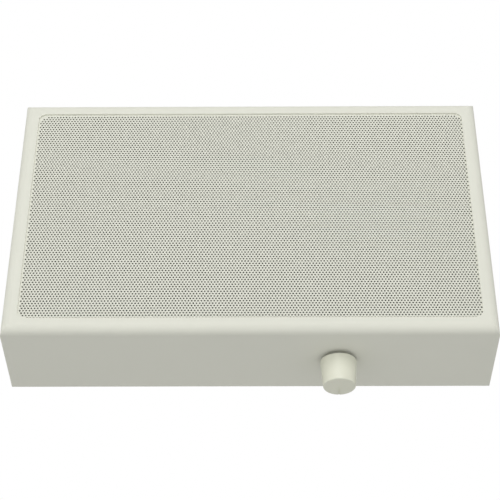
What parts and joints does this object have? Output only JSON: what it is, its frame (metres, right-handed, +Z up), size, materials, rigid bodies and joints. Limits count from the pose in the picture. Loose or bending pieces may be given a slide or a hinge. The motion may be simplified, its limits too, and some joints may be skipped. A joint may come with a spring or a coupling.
{
  "type": "wall speaker",
  "caption": "Shallow wall-mounted loudspeaker in a flared sheet-metal box with a perforated front, a volume knob underneath, and a driver and line transformer inside.",
  "frame": {"origin": "middle of the four wall screws, in the plane of the wall", "axes": "+X to the right along the long side, +Y into the wall, +Z up; the perforated front faces -Y and the knob points down"},
  "size_m": [0.31, 0.067, 0.2065],
  "materials": {
    "cover_paint": "satin powder paint, cream white",
    "grille_paint": "satin powder paint, cream white",
    "acoustic_cloth": "thin open black cloth",
    "fibreboard": "raw fibreboard",
    "zinc_steel": "zinc plated",
    "screw_steel": "bright zinc",
    "gasket_foam": "closed foam",
    "black_rubber": "matt rubber",
    "cone_paper": "pressed black paper",
    "former_card": "varnished card",
    "copper_wire": "enamelled copper",
    "spider_cloth": "resin stiffened weave",
    "ferrite": "ground ferrite",
    "tag_fibre": "brown laminate",
    "core_steel": "stacked laminations",
    "bobbin_plastic": "moulded nylon",
    "winding_tape": "yellow tape",
    "shaft_metal": "turned",
    "knob_plastic": "satin moulded, cream white",
    "terminal_plastic": "moulded",
    "brass": "bare",
    "red_insulation": "insulation",
    "blue_insulation": "insulation",
    "black_insulation": "insulation"
  },
  "bodies": {
    "housing": {"front_cover": "cover_paint", "grille_sheet": "grille_paint", "grille_cloth": "acoustic_cloth", "baffle_board": "fibreboard", "board_angles": "zinc_steel", "board_screws": "screw_steel", "driver_basket": "zinc_steel", "driver_gasket": "gasket_foam", "driver_bolts": "screw_steel", "driver_nuts": "screw_steel", "surround": "black_rubber", "spider": "spider_cloth", "front_plate": "zinc_steel", "ring_magnet": "ferrite", "magnet_yoke": "zinc_steel", "driver_tags": "tag_fibre", "tinsel_leads": "copper_wire", "transformer_core": "core_steel", "transformer_bobbin": "bobbin_plastic", "transformer_winding": "winding_tape", "transformer_clamp": "zinc_steel", "transformer_screws": "screw_steel", "control_body": "zinc_steel", "control_tags": "tag_fibre", "control_lock_washer": "screw_steel", "control_washer": "screw_steel", "control_nut": "screw_steel", "back_plate": "zinc_steel", "cable_grommet": "black_rubber", "cover_screws": "screw_steel", "cover_nuts": "screw_steel", "terminal_body": "terminal_plastic", "terminal_sleeves": "brass", "terminal_screws": "screw_steel", "terminal_fixings": "screw_steel", "feed_wires": "red_insulation", "control_wires": "blue_insulation", "driver_wires": "black_insulation"},
    "cone": {"paper_cone": "cone_paper", "dust_cap": "cone_paper", "coil_former": "former_card", "voice_coil": "copper_wire"},
    "knob": {"volume_knob": "knob_plastic", "control_shaft": "shaft_metal"}
  },
  "joints": [
    {"name": "knob_turn", "type": "hinge", "parent": "housing", "child": "knob", "pos_m": [0.0555, -0.0345, -0.09151], "axis": [0, 0.0288, 0.9996], "range_deg": [-150, 150]},
    {"name": "cone_travel", "type": "slide", "parent": "housing", "child": "cone", "axis": [0, -1, 0], "range_m": [-0.002, 0.002], "stiffness_N_per_m": 1500, "deforming": ["surround", "spider", "tinsel_leads"]}
  ]
}
